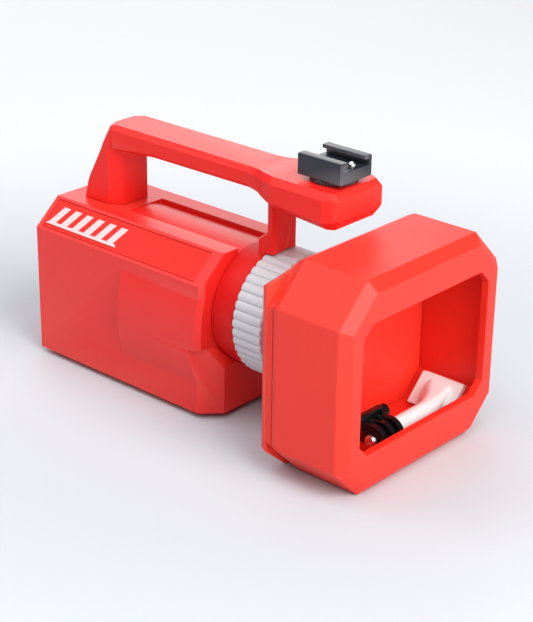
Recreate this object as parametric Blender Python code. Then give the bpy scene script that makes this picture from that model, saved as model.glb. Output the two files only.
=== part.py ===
"""Camcorder-style rig for an action camera: body, barrel, grip ring, hood, top handle and cold shoe."""

import math

import bmesh
import bpy
from mathutils import Matrix, Vector

MM = 0.001
LENGTH = 224.0          # hood rim to rear wall
SHIFT = -LENGTH / 2.0   # depth is measured from the hood rim, then centred
STANDOFF = 3.0          # heights are measured from the body's lower edge; hood and base reach this far below it
FIT = 0.3               # clearance left between two pieces that touch

# body
BODY_HALF = 37.2
BODY_TOP = 81.0
BODY_TOP_HALF = 21.7
BODY_SHOULDER = 67.7
BODY_FRONT = 105.7
BODY_REAR = 224.0
FRONT_CHAMFER = 2.4
FOOT_FRONT = 99.5
FOOT_CHAMFER = 9.3
FOOT_TOP_FRONT = 25.0
FOOT_TOP_REAR = 34.6    # where the sloped top meets the front wall
FOOT_FACET_TOP = 35.0
SWELL_LOW = 16.0        # palm swell on each side wall
SWELL_HIGH = 61.8
SWELL_OUT = 3.3
SWELL_REAR = 161.0
CAVITY_FRONT = 115.0
CAVITY_REAR = 214.0
CAVITY_HALF = 30.0
CAVITY_TOP = 76.5
BASE_PLATE_THICK = 3.0
BASE_SCREW_X = 27.2
BASE_SCREW_Y = (118.6, 210.4)
TRIPOD_Y = 160.0

# barrel and ring, all on one axis
AXIS_Z = 50.0
BARREL_R = 31.0
JOURNAL_R = 27.2
SPIGOT_R = 23.0
BARREL_BORE = 19.5
REGISTER_R = 22.5
RING_FRONT = 73.5
RING_REAR = 91.2
RING_TIP_R = 32.0
RING_VALLEY_R = 31.0
RING_BORE_R = 27.6
RING_RIBS = 42
NECK_R = 30.0
BARREL_SHOULDER = 91.6
NECK_REAR = 73.1

# hood
HOOD_HALF = 58.5
HOOD_TOP = 102.0
HOOD_INNER_HALF = 51.5
HOOD_LOW = -STANDOFF
HOOD_FLOOR = 4.2
HOOD_CEILING = 95.0
HOOD_SHELL_REAR = 43.2
FRAME_FRONT = 40.6
FRAME_REAR = 50.0
OPENING_HALF = 46.8
OPENING_LOW = 18.8
OPENING_HIGH = 82.9
LIP_THICK = 4.0

# handle and shoe
BAR_HALF = 12.7
BAR_TOP = 123.7
PAD_TOP = 124.9
SHOE_Y = 57.25
SHOE_HALF_X = 11.1
SHOE_HALF_Y = 12.85
SHOE_BASE = 127.3
SHOE_FLOOR = 133.0
SHOE_TOP = 137.5
SLOT_HALF = 9.3
SLOT_MOUTH = 6.4
LIP_UNDER = 135.6

# three-prong mount in the hood
PRONG_Y = 14.2
PRONG_Z = 12.6
PRONG_R = 7.3
PRONG_LEFT = -19.4
PRONG_RIGHT = -4.4
ROD_R = 5.0


def clear_scene():
    for item in list(bpy.data.objects):
        bpy.data.objects.remove(item, do_unlink=True)


def make_collection(name):
    group = bpy.data.collections.new(name)
    bpy.context.scene.collection.children.link(group)
    return group


def make_material(name, colour, roughness, metallic=0.0):
    material = bpy.data.materials.new(name)
    material.use_nodes = True
    shader = material.node_tree.nodes["Principled BSDF"]
    shader.inputs["Base Color"].default_value = (*colour, 1.0)
    shader.inputs["Roughness"].default_value = roughness
    shader.inputs["Metallic"].default_value = metallic
    material.diffuse_color = (*colour, 1.0)
    return material


def place(x, y, z):
    return Vector((x, y + SHIFT, z + STANDOFF)) * MM


def loft(loops, closed=False):
    """Skin a run of equal-length loops of (x, y, z); cap both ends unless the run closes on itself."""
    mesh = bmesh.new()
    rows = []
    for loop in loops:
        rows.append([mesh.verts.new(place(*point)) for point in loop])
    count = len(rows[0])
    pairs = list(zip(rows, rows[1:]))
    if closed:
        pairs.append((rows[-1], rows[0]))
    for first, second in pairs:
        for index in range(count):
            after = (index + 1) % count
            mesh.faces.new((first[index], first[after], second[after], second[index]))
    if not closed:
        mesh.faces.new(list(reversed(rows[0])))
        mesh.faces.new(rows[-1])
    bmesh.ops.recalc_face_normals(mesh, faces=mesh.faces)
    return mesh


def prism_y(outline, front, rear):
    """Extrude an (x, z) outline along Y."""
    return loft([[(x, front, z) for x, z in outline], [(x, rear, z) for x, z in outline]])


def prism_x(outline, left, right):
    """Extrude a (y, z) outline along X."""
    return loft([[(left, y, z) for y, z in outline], [(right, y, z) for y, z in outline]])


def prism_z(outline, low, high):
    """Extrude an (x, y) outline along Z."""
    return loft([[(x, y, low) for x, y in outline], [(x, y, high) for x, y in outline]])


def box(x0, x1, y0, y1, z0, z1):
    return prism_z([(x0, y0), (x1, y0), (x1, y1), (x0, y1)], z0, z1)


def turned(profile, centre, direction, segments):
    """Turn a list of (distance along axis, radius) about an axis; zero-radius ends close on the axis."""
    axis = Vector(direction).normalized()
    side = axis.orthogonal().normalized()
    across = axis.cross(side)
    origin = Vector(centre)
    mesh = bmesh.new()
    rows = []
    for along, radius in profile:
        row = []
        for index in range(segments):
            angle = 2.0 * math.pi * (index + 0.5) / segments
            point = origin + axis * along
            point = point + (side * math.cos(angle) + across * math.sin(angle)) * radius
            row.append(mesh.verts.new(place(point.x, point.y, point.z)))
        rows.append(row)
    for first, second in zip(rows, rows[1:]):
        for index in range(segments):
            after = (index + 1) % segments
            mesh.faces.new((first[index], first[after], second[after], second[index]))
    if profile[0] == profile[-1]:
        bmesh.ops.remove_doubles(mesh, verts=mesh.verts, dist=1e-7)
    else:
        mesh.faces.new(list(reversed(rows[0])))
        mesh.faces.new(rows[-1])
    bmesh.ops.recalc_face_normals(mesh, faces=mesh.faces)
    return mesh


def hex_prism(centre, direction, flats, length):
    axis = Vector(direction).normalized()
    return turned([(0.0, flats / math.sqrt(3.0)), (length, flats / math.sqrt(3.0))], centre, axis, 6)


def add_object(name, mesh, group, material=None, origin=(0.0, LENGTH / 2.0, 0.0), smooth=0.0):
    anchor = place(*origin)
    bmesh.ops.translate(mesh, verts=mesh.verts, vec=-anchor)
    data = bpy.data.meshes.new(name)
    mesh.to_mesh(data)
    mesh.free()
    item = bpy.data.objects.new(name, data)
    item.location = anchor
    group.objects.link(item)
    if material is not None:
        data.materials.append(material)
    if smooth > 0.0:
        shade(item, smooth)
    return item


def shade(item, degrees):
    mesh = bmesh.new()
    mesh.from_mesh(item.data)
    limit = math.radians(degrees)
    for face in mesh.faces:
        face.smooth = True
    for edge in mesh.edges:
        edge.smooth = len(edge.link_faces) == 2 and edge.calc_face_angle(0.0) < limit
    mesh.to_mesh(item.data)
    mesh.free()


def combine(item, mesh, operation, name, cutters):
    tool = add_object(name, mesh, cutters)
    tool.hide_render = True
    tool.display_type = "WIRE"
    step = item.modifiers.new(name, "BOOLEAN")
    step.operation = operation
    step.solver = "EXACT"
    step.object = tool
    return tool


def cut(item, mesh, name, cutters):
    return combine(item, mesh, "DIFFERENCE", name, cutters)


def join(item, mesh, name, cutters):
    return combine(item, mesh, "UNION", name, cutters)


def octagon(half, low, high, cut_low, cut_high, depth):
    """Eight-cornered frame outline in the XZ plane at one depth."""
    return [
        (-half, depth, low + cut_low),
        (-half + cut_low, depth, low),
        (half - cut_low, depth, low),
        (half, depth, low + cut_low),
        (half, depth, high - cut_high),
        (half - cut_high, depth, high),
        (-half + cut_high, depth, high),
        (-half, depth, high - cut_high),
    ]


def hood_outline(inset, depth):
    shrink = inset * (2.0 - math.sqrt(2.0))
    return octagon(
        HOOD_HALF - inset, HOOD_LOW + inset, HOOD_TOP - inset, 17.0 - shrink, 18.5 - shrink, depth
    )


def hood_inner(gap, depth):
    shrink = gap * (2.0 - math.sqrt(2.0))
    return octagon(
        HOOD_INNER_HALF - gap, HOOD_FLOOR + gap, HOOD_CEILING - gap, 12.5 - shrink, 14.4 - shrink, depth
    )


def screw(head_r, head_h, shank_r, length, centre, direction, socket=True, segments=14):
    """Cap screw; the axis runs from the top of the head along the shank."""
    profile = []
    if socket:
        profile.append((head_h * 0.55, head_r * 0.45))
        profile.append((0.0, head_r * 0.5))
    profile.append((0.0, head_r * 0.86))
    profile.append((head_h * 0.25, head_r))
    profile.append((head_h, head_r))
    profile.append((head_h, shank_r))
    profile.append((length - 0.4, shank_r))
    profile.append((length, shank_r * 0.7))
    return turned(profile, centre, direction, segments)


def countersunk(head_r, shank_r, length, centre, direction):
    profile = [
        (0.9, head_r * 0.4),
        (0.0, head_r * 0.45),
        (0.0, head_r),
        (head_r - shank_r, shank_r),
        (length - 0.4, shank_r),
        (length, shank_r * 0.7),
    ]
    return turned(profile, centre, direction, 14)


def insert_ring(outer, inner, length, centre, direction):
    profile = [
        (0.0, inner),
        (0.0, outer),
        (length, outer),
        (length, inner),
        (0.0, inner),
    ]
    return turned(profile, centre, direction, 14)


def body_section(half, shoulder, swollen):
    """Outline of the body across its length; each side can carry the palm swell."""
    right = [(half, 0.0)]
    middle = (SWELL_LOW + SWELL_HIGH) / 2.0
    reach = (SWELL_HIGH - SWELL_LOW) / 2.0
    radius = (reach * reach + SWELL_OUT * SWELL_OUT) / (2.0 * SWELL_OUT)
    for step in range(13):
        level = SWELL_LOW + (SWELL_HIGH - SWELL_LOW) * step / 12.0
        bulge = math.sqrt(radius * radius - (level - middle) ** 2) - (radius - SWELL_OUT)
        right.append((half + (bulge if swollen else 0.0), level))
    right.append((half, shoulder))
    right.append((BODY_TOP_HALF, BODY_TOP))
    left = [(-x, z) for x, z in reversed(right)]
    return right + left


def build_body(parts, cutters, red):
    narrow = BODY_HALF - FRONT_CHAMFER
    rise = FRONT_CHAMFER * (BODY_TOP - BODY_SHOULDER) / (BODY_HALF - BODY_TOP_HALF)
    section = body_section(BODY_HALF, BODY_SHOULDER, True)
    plain = body_section(BODY_HALF, BODY_SHOULDER, False)
    front = body_section(narrow, BODY_SHOULDER + rise, True)
    rear = [(x * 0.985, 0.6 + z * 0.988) for x, z in plain]
    mesh = loft(
        [
            [(x, BODY_FRONT, z) for x, z in front],
            [(x, BODY_FRONT + FRONT_CHAMFER, z) for x, z in section],
            [(x, SWELL_REAR, z) for x, z in section],
            [(x, SWELL_REAR + 0.4, z) for x, z in plain],
            [(x, BODY_REAR - 0.8, z) for x, z in plain],
            [(x, BODY_REAR, z) for x, z in rear],
        ]
    )
    body = add_object("body_shell", mesh, parts, red)

    # foot that carries on forward under the barrel, with a sloped top
    slope = (FOOT_TOP_REAR - FOOT_TOP_FRONT) / (BODY_FRONT - FOOT_FRONT)
    buried = BODY_FRONT + 6.0
    outline = [
        (FOOT_FRONT, 0.0),
        (buried, 0.0),
        (buried, FOOT_TOP_FRONT + slope * (buried - FOOT_FRONT)),
        (FOOT_FRONT, FOOT_TOP_FRONT),
    ]
    side = BODY_HALF - 1.5
    join(body, prism_x(outline, -side, side), "foot_add", cutters)
    for side in (-1.0, 1.0):
        outline = []
        for x, y in (
            (BODY_HALF - FOOT_CHAMFER - 0.5, FOOT_FRONT - 0.5),
            (BODY_HALF + 10.0, FOOT_FRONT + FOOT_CHAMFER + 10.0),
            (BODY_HALF + 10.0, FOOT_FRONT - 8.0),
            (BODY_HALF - FOOT_CHAMFER - 0.5, FOOT_FRONT - 8.0),
        ):
            outline.append((x * side, y))
        wedge = prism_z(outline, -1.0, FOOT_FACET_TOP)
        cut(body, wedge, "foot_facet_left" if side > 0 else "foot_facet_right", cutters)
    cradle = turned(
        [(0.0, BARREL_R + FIT), (12.7, BARREL_R + FIT)], (0.0, 93.0, AXIS_Z), (0, 1, 0), 48
    )
    cut(body, cradle, "foot_cradle", cutters)

    # hollow inside, left solid in the four corners for the screws
    corner = 13.0
    plan = [
        (-CAVITY_HALF + corner, CAVITY_FRONT),
        (CAVITY_HALF - corner, CAVITY_FRONT),
        (CAVITY_HALF, CAVITY_FRONT + corner),
        (CAVITY_HALF, CAVITY_REAR - corner),
        (CAVITY_HALF - corner, CAVITY_REAR),
        (-CAVITY_HALF + corner, CAVITY_REAR),
        (-CAVITY_HALF, CAVITY_REAR - corner),
        (-CAVITY_HALF, CAVITY_FRONT + corner),
    ]
    levels = [(-1.0, 1.0), (63.0, 1.0), (CAVITY_TOP, 0.58)]
    hollow = loft([[(x * scale, y, level) for x, y in plan] for level, scale in levels])
    cut(body, hollow, "body_hollow", cutters)
    recess = box(-33.4, 33.4, 111.8, 217.4, -1.0, BASE_PLATE_THICK + FIT)
    cut(body, recess, "base_recess", cutters)
    opening = turned(
        [(0.0, REGISTER_R + FIT), (14.0, REGISTER_R + FIT)], (0.0, 103.0, AXIS_Z), (0, 1, 0), 32
    )
    cut(body, opening, "barrel_opening", cutters)

    # shallow arched recess under the handle
    arc = []
    for step in range(9):
        x = -12.0 + 3.0 * step
        arc.append((x, AXIS_Z + math.sqrt(30.6 ** 2 - x * x)))
    outline = arc + [(12.0, 84.0), (-12.0, 84.0)]
    cut(body, prism_y(outline, 104.0, 181.0), "top_recess", cutters)

    # screw holes
    for x in (-BASE_SCREW_X, BASE_SCREW_X):
        for y in BASE_SCREW_Y:
            hole = turned([(0.0, 1.8), (18.0, 1.8)], (x, y, 1.0), (0, 0, 1), 12)
            cut(body, hole, "base_hole_%d_%d" % (x, y), cutters)
    for index in range(4):
        angle = math.radians(45.0 + 90.0 * index)
        x = 26.6 * math.cos(angle)
        z = AXIS_Z + 26.6 * math.sin(angle)
        hole = turned(
            [(0.0, 1.8), (7.4, 1.8), (7.4, 3.3), (20.0, 3.3)], (x, 104.5, z), (0, 1, 0), 14
        )
        cut(body, hole, "barrel_hole_%d" % index, cutters)
    for y in (193.0, 203.0):
        hole = turned([(0.0, 2.3), (10.0, 2.3)], (0.0, y, 74.0), (0, 0, 1), 14)
        cut(body, hole, "handle_hole_%d" % y, cutters)

    # label recess on the long shoulder facet
    cut(body, shoulder_plate(-1.4, 3.0, 112.4, 220.4, 1.6), "label_recess", cutters)
    return body


def shoulder_plate(depth, height, front, rear, margin):
    """Box lying on the right shoulder facet, from depth below it to height above it."""
    slope = Vector((BODY_HALF - BODY_TOP_HALF, BODY_TOP - BODY_SHOULDER)).normalized()
    normal = Vector((-slope.y, slope.x))
    length = math.hypot(BODY_HALF - BODY_TOP_HALF, BODY_TOP - BODY_SHOULDER)
    low = Vector((-BODY_HALF, BODY_SHOULDER)) + slope * margin
    high = Vector((-BODY_HALF, BODY_SHOULDER)) + slope * (length - margin)
    outline = [
        tuple(low + normal * depth),
        tuple(high + normal * depth),
        tuple(high + normal * height),
        tuple(low + normal * height),
    ]
    return prism_y(outline, front, rear)


def build_label(parts, cutters, red, white):
    panel = shoulder_plate(-1.1, -0.1, 112.7, 220.1, 1.9)
    add_object("label_panel", panel, parts, red)

    # plain slanted bars on one baseline, no lettering
    slope = Vector((BODY_HALF - BODY_TOP_HALF, BODY_TOP - BODY_SHOULDER)).normalized()
    normal = Vector((-slope.y, slope.x))
    start = Vector((-BODY_HALF, BODY_SHOULDER))

    def on_panel(along, up, out):
        spot = start + slope * up + normal * out
        return (spot.x, along, spot.y)

    outline = [(216.0, 4.0)]
    for index in range(6):
        left = 214.0 - 8.4 * index
        outline.append((left, 5.6))
        outline.append((left - 4.0, 15.2))
        outline.append((left - 8.4, 15.2))
        outline.append((left - 4.4, 5.6))
    outline.append((166.0, 5.6))
    outline.append((164.5, 4.0))
    loops = []
    for out in (0.1, 0.5):
        loops.append([on_panel(along, up, out) for along, up in outline])
    add_object("label_mark", loft(loops), parts, white)


def build_base(parts, cutters, red, steel, brass):
    plate = add_object(
        "base_plate", box(-33.1, 33.1, 112.1, 217.1, -STANDOFF, BASE_PLATE_THICK), parts, red
    )
    boss = turned([(0.0, 9.5), (7.0, 9.0)], (0.0, TRIPOD_Y, 1.5), (0, 0, 1), 20)
    join(plate, boss, "tripod_boss", cutters)
    hole = turned([(0.0, 4.9), (16.0, 4.9)], (0.0, TRIPOD_Y, -4.0), (0, 0, 1), 20)
    cut(plate, hole, "tripod_hole", cutters)
    number = 1
    for x in (-BASE_SCREW_X, BASE_SCREW_X):
        for y in BASE_SCREW_Y:
            sink = turned(
                [(0.0, 3.2), (1.2, 3.2), (2.6, 1.8), (8.0, 1.8)], (x, y, -3.6), (0, 0, 1), 14
            )
            cut(plate, sink, "base_sink_%d" % number, cutters)
            fixing = countersunk(2.75, 1.4, 18.0, (x, y, -2.65), (0, 0, 1))
            add_object("base_screw_%d" % number, fixing, parts, steel, (x, y, -2.65), 40.0)
            number += 1
    brass_nut = insert_ring(4.6, 3.1, 9.6, (0.0, TRIPOD_Y, -2.7), (0, 0, 1))
    add_object("tripod_insert", brass_nut, parts, brass, (0.0, TRIPOD_Y, -2.7), 40.0)


def build_barrel(parts, cutters, red, white, steel):
    rear = BODY_FRONT - FIT
    profile = [
        (52.6, BARREL_BORE),
        (52.6, SPIGOT_R),
        (NECK_REAR + 0.3, SPIGOT_R),
        (NECK_REAR + 0.3, JOURNAL_R),
        (BARREL_SHOULDER, JOURNAL_R),
        (BARREL_SHOULDER, BARREL_R),
        (rear, BARREL_R),
        (rear, REGISTER_R),
        (110.0, REGISTER_R),
        (110.0, BARREL_BORE),
        (52.6, BARREL_BORE),
    ]
    tube = turned(profile, (0.0, 0.0, AXIS_Z), (0, 1, 0), 48)
    barrel = add_object("barrel_tube", tube, parts, red, (0.0, 98.0, AXIS_Z), 30.0)
    for index in range(4):
        angle = math.radians(45.0 + 90.0 * index)
        x = 26.6 * math.cos(angle)
        z = AXIS_Z + 26.6 * math.sin(angle)
        hole = turned([(0.0, 1.8), (12.0, 1.8)], (x, 96.0, z), (0, 1, 0), 12)
        cut(barrel, hole, "tube_hole_%d" % index, cutters)
        fixing = screw(2.9, 2.4, 1.5, 16.2, (x, 114.6, z), (0, -1, 0))
        name = "barrel_screw_%d" % (index + 1)
        add_object(name, fixing, parts, steel, (x, 114.6, z), 40.0)
    hole = turned([(0.0, 1.6), (14.0, 1.6)], (0.0, 94.4, 68.0), (0, 0, 1), 12)
    cut(barrel, hole, "tube_post_hole", cutters)

    # grip ring: rounded ribs parallel to the axis
    count = RING_RIBS * 4
    middle = (RING_FRONT + RING_REAR) / 2.0
    loops = []
    for depth, drop in ((RING_FRONT, 0.9), (RING_FRONT + 0.9, 0.0), (RING_REAR - 0.7, 0.0), (RING_REAR, 0.7)):
        loop = []
        for index in range(count):
            angle = 2.0 * math.pi * index / count
            wave = (0.0, 0.72, 1.0, 0.72)[index % 4]
            radius = RING_VALLEY_R + (RING_TIP_R - RING_VALLEY_R) * wave - drop
            loop.append((radius * math.cos(angle), depth, AXIS_Z + radius * math.sin(angle)))
        loops.append(loop)
    for depth in (RING_REAR, RING_FRONT):
        loop = []
        for index in range(count):
            angle = 2.0 * math.pi * index / count
            loop.append((RING_BORE_R * math.cos(angle), depth, AXIS_Z + RING_BORE_R * math.sin(angle)))
        loops.append(loop)
    add_object("knurled_ring", loft(loops, True), parts, white, (0.0, middle, AXIS_Z), 50.0)


def build_hood(parts, cutters, red, steel):
    loops = [
        hood_outline(1.5, HOOD_SHELL_REAR),
        hood_outline(0.0, 39.8),
        hood_outline(0.0, 4.7),
        hood_outline(5.1, 0.0),
        octagon(OPENING_HALF, OPENING_LOW, OPENING_HIGH, 5.8, 6.4, 0.0),
        octagon(OPENING_HALF, OPENING_LOW, OPENING_HIGH, 5.8, 6.4, LIP_THICK),
        hood_inner(0.0, LIP_THICK),
        hood_inner(0.0, HOOD_SHELL_REAR),
    ]
    shell = add_object("hood_shell", loft(loops, True), parts, red)

    loops = [
        hood_inner(FIT, FRAME_FRONT),
        hood_inner(FIT, HOOD_SHELL_REAR + FIT),
        hood_outline(1.5, HOOD_SHELL_REAR + FIT),
        hood_outline(1.5, 46.8),
    ]
    frame = add_object("hood_back_frame", loft(loops), parts, red)
    plate = []
    for depth, inset in ((46.6, 0.0), (47.0, 0.0), (FRAME_REAR, 1.2)):
        half = 57.2 - inset
        low = inset - 2.6
        high = 96.6 - inset
        plate.append(
            [
                (-half, depth, 10.2 + inset * 0.4),
                (-42.2, depth, low),
                (42.2, depth, low),
                (half, depth, 10.2 + inset * 0.4),
                (half, depth, 92.6 - inset),
                (30.0, depth, high),
                (-30.0, depth, high),
                (-half, depth, 92.6 - inset),
            ]
        )
    join(frame, loft(plate), "frame_plate", cutters)

    number = 1
    for x in (-53.2, 53.2):
        for z in (32.0, 70.0):
            hole = turned([(0.0, 1.5), (14.0, 1.5)], (x, 31.0, z), (0, 1, 0), 12)
            cut(shell, hole, "shell_hole_%d" % number, cutters)
            step = turned(
                [(0.0, 1.5), (6.4, 1.5), (6.4, 2.5), (12.0, 2.5)], (x, 41.3, z), (0, 1, 0), 14
            )
            cut(frame, step, "frame_hole_%d" % number, cutters)
            fixing = screw(2.2, 1.9, 1.2, 17.6, (x, 49.9, z), (0, -1, 0))
            name = "frame_screw_%d" % number
            add_object(name, fixing, parts, steel, (x, 49.9, z), 40.0)
            number += 1

    # neck collar that carries the hood on the barrel
    profile = [
        (FRAME_REAR + FIT, SPIGOT_R + FIT),
        (FRAME_REAR + FIT, NECK_R),
        (NECK_REAR - 0.6, NECK_R),
        (NECK_REAR, NECK_R - 0.6),
        (NECK_REAR, SPIGOT_R + FIT),
        (FRAME_REAR + FIT, SPIGOT_R + FIT),
    ]
    collar = turned(profile, (0.0, 0.0, AXIS_Z), (0, 1, 0), 40)
    neck = add_object("hood_neck", collar, parts, red, (0.0, 61.7, AXIS_Z), 30.0)
    for index in range(3):
        angle = math.radians(90.0 + 120.0 * index)
        x = 26.65 * math.cos(angle)
        z = AXIS_Z + 26.65 * math.sin(angle)
        step = turned([(0.0, 1.5), (20.4, 1.5), (20.4, 2.5), (26.0, 2.5)], (x, 49.5, z), (0, 1, 0), 14)
        cut(neck, step, "neck_hole_%d" % index, cutters)
        blind = turned([(0.0, 1.5), (10.0, 1.5)], (x, 44.6, z), (0, 1, 0), 12)
        cut(frame, blind, "frame_blind_%d" % index, cutters)
        fixing = screw(2.2, 2.3, 1.2, 27.2, (x, 72.5, z), (0, -1, 0))
        name = "neck_screw_%d" % (index + 1)
        add_object(name, fixing, parts, steel, (x, 72.5, z), 40.0)
    radial = turned([(0.0, 1.8), (12.0, 1.8)], (0.0, 61.0, 18.0), (0, 0, 1), 12)
    cut(neck, radial, "neck_radial_hole", cutters)
    grub = turned(
        [(1.4, 0.6), (0.0, 0.8), (0.0, 1.3), (0.3, 1.5), (5.6, 1.5), (6.0, 1.0)],
        (0.0, 61.0, 20.6),
        (0, 0, 1),
        12,
    )
    add_object("neck_set_screw", grub, parts, steel, (0.0, 61.0, 20.6), 40.0)


def bar_section(depth, half, high, bevel, low, bevel_low):
    return [
        (-half + bevel, depth, high),
        (-half, depth, high - bevel),
        (-half, depth, low + bevel_low),
        (-half + bevel_low, depth, low),
        (half - bevel_low, depth, low),
        (half, depth, low + bevel_low),
        (half, depth, high - bevel),
        (half - bevel, depth, high),
    ]


def build_handle(parts, cutters, red, steel, brass):
    sections = [
        bar_section(190.0, BAR_HALF, BAR_TOP, 2.4, 110.8, 1.2),
        bar_section(178.0, BAR_HALF, BAR_TOP, 2.4, 111.6, 1.6),
        bar_section(164.0, BAR_HALF, BAR_TOP, 2.4, 112.8, 2.0),
        bar_section(100.0, BAR_HALF, BAR_TOP, 2.4, 113.2, 2.0),
        bar_section(93.0, 14.2, BAR_TOP + 0.2, 2.6, 112.6, 2.0),
        bar_section(86.0, 17.6, BAR_TOP + 0.8, 2.8, 111.2, 2.4),
        bar_section(79.0, 19.8, PAD_TOP, 3.0, 109.6, 3.2),
        bar_section(48.0, 20.0, PAD_TOP, 3.0, 107.0, 4.2),
        bar_section(44.6, 17.9, PAD_TOP - 0.1, 2.8, 107.0, 4.2),
        bar_section(41.6, 16.0, 122.2, 0.6, 111.8, 0.8),
    ]
    handle = add_object("handle", loft(sections), parts, red)

    post = []
    for level, rear, rear_half, corner, side_y, side_half, front_y in (
        (BODY_TOP + FIT, 212.1, 14.0, 1.4, 195.2, 13.2, 188.2),
        (90.8, 210.2, 13.4, 1.4, 195.0, 13.0, 188.2),
        (109.0, 201.3, BAR_HALF, 1.8, 194.6, BAR_HALF, 188.2),
        (116.0, 199.0, BAR_HALF, 2.8, 193.4, BAR_HALF, 188.2),
        (BAR_TOP - 2.4, 197.2, BAR_HALF, 4.4, 191.8, BAR_HALF, 188.2),
        (BAR_TOP, 194.8, BAR_HALF - 2.4, 4.0, 190.0, BAR_HALF - 2.4, 188.6),
    ):
        post.append(
            [
                (-rear_half + corner, rear, level),
                (-rear_half, rear - corner, level),
                (-side_half, side_y, level),
                (-8.6, front_y, level),
                (8.6, front_y, level),
                (side_half, side_y, level),
                (rear_half, rear - corner, level),
                (rear_half - corner, rear, level),
            ]
        )
    join(handle, loft(post), "rear_post", cutters)

    outline = [
        (85.5, 77.0),
        (97.0, 77.0),
        (97.0, 87.3),
        (91.3, 92.0),
        (91.3, 112.0),
        (93.5, 116.0),
        (85.5, 116.0),
    ]
    join(handle, prism_x(outline, -8.6, 8.6), "front_post", cutters)
    saddle = turned(
        [(0.0, 32.6), (21.6, 32.6), (21.6, BARREL_R + FIT), (40.0, BARREL_R + FIT)],
        (0.0, 70.0, AXIS_Z),
        (0, 1, 0),
        64,
    )
    cut(handle, saddle, "saddle", cutters)

    number = 1
    for y in (193.0, 203.0):
        hole = turned([(0.0, 3.1), (12.6, 3.1)], (0.0, y, 79.0), (0, 0, 1), 14)
        cut(handle, hole, "insert_pocket_%d" % number, cutters)
        fixing = screw(3.6, 2.8, 1.9, 17.0, (0.0, y, 73.4), (0, 0, 1))
        add_object("handle_screw_%d" % number, fixing, parts, steel, (0.0, y, 73.4), 40.0)
        ring = insert_ring(2.8, 2.2, 6.6, (0.0, y, 81.7), (0, 0, 1))
        add_object("handle_insert_%d" % number, ring, parts, brass, (0.0, y, 81.7), 40.0)
        number += 1
    hole = turned([(0.0, 2.1), (10.0, 2.1)], (0.0, 94.4, 79.0), (0, 0, 1), 12)
    cut(handle, hole, "insert_pocket_3", cutters)
    fixing = screw(2.5, 2.2, 1.2, 20.6, (0.0, 94.4, 67.0), (0, 0, 1))
    add_object("handle_screw_3", fixing, parts, steel, (0.0, 94.4, 67.0), 40.0)
    ring = insert_ring(1.85, 1.5, 6.0, (0.0, 94.4, 81.9), (0, 0, 1))
    add_object("handle_insert_3", ring, parts, brass, (0.0, 94.4, 81.9), 40.0)

    # pocket for the threaded insert under the shoe
    hole = turned([(0.0, 4.7), (14.0, 4.7)], (0.0, SHOE_Y, 113.0), (0, 0, 1), 18)
    cut(handle, hole, "shoe_pocket", cutters)
    ring = insert_ring(4.4, 3.4, 10.4, (0.0, SHOE_Y, 114.2), (0, 0, 1))
    add_object("shoe_insert", ring, parts, brass, (0.0, SHOE_Y, 114.2), 40.0)


def build_shoe(parts, cutters, black, steel, chrome):
    outline = [
        (-SHOE_HALF_X, SHOE_BASE),
        (SHOE_HALF_X, SHOE_BASE),
        (SHOE_HALF_X, SHOE_TOP - 0.5),
        (SHOE_HALF_X - 0.5, SHOE_TOP),
        (SLOT_MOUTH, SHOE_TOP),
        (SLOT_MOUTH, LIP_UNDER),
        (SLOT_HALF, LIP_UNDER),
        (SLOT_HALF, SHOE_FLOOR),
        (-SLOT_HALF, SHOE_FLOOR),
        (-SLOT_HALF, LIP_UNDER),
        (-SLOT_MOUTH, LIP_UNDER),
        (-SLOT_MOUTH, SHOE_TOP),
        (-SHOE_HALF_X + 0.5, SHOE_TOP),
        (-SHOE_HALF_X, SHOE_TOP - 0.5),
    ]
    block = prism_y(outline, SHOE_Y - SHOE_HALF_Y, SHOE_Y + SHOE_HALF_Y)
    shoe = add_object("shoe_body", block, parts, black, (0.0, SHOE_Y, SHOE_BASE))
    seat = turned([(0.0, 3.4), (4.0, 3.4), (4.0, 5.6), (9.0, 5.6)], (0.0, SHOE_Y, 126.2), (0, 0, 1), 20)
    cut(shoe, seat, "stud_seat", cutters)
    stop = turned([(0.0, 1.4), (6.0, 1.4)], (0.0, 47.2, 129.5), (0, 0, 1), 12)
    cut(shoe, stop, "stop_hole", cutters)

    stud = turned(
        [(1.2, 2.0), (0.0, 2.2), (0.0, 4.9), (0.4, 5.2), (2.3, 5.2), (2.3, 3.1), (16.8, 3.1), (17.2, 2.4)],
        (0.0, SHOE_Y, 132.8),
        (0, 0, -1),
        18,
    )
    add_object("shoe_stud", stud, parts, steel, (0.0, SHOE_Y, 132.8), 40.0)

    disc = turned(
        [(0.0, 3.5), (0.0, 11.0), (0.4, 11.4), (1.4, 11.4), (1.8, 11.0), (1.8, 3.5), (0.0, 3.5)],
        (0.0, SHOE_Y, 125.2),
        (0, 0, 1),
        36,
    )
    add_object("shoe_lock_disc", disc, parts, black, (0.0, SHOE_Y, 125.2), 40.0)

    pin = turned(
        [(0.0, 0.7), (0.0, 1.1), (3.2, 1.1), (3.2, 1.5), (4.0, 1.75), (5.0, 1.5), (5.6, 0.8)],
        (0.0, 47.2, 130.1),
        (0, 0, 1),
        14,
    )
    add_object("shoe_stop_screw", pin, parts, chrome, (0.0, 47.2, 130.1), 60.0)


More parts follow.
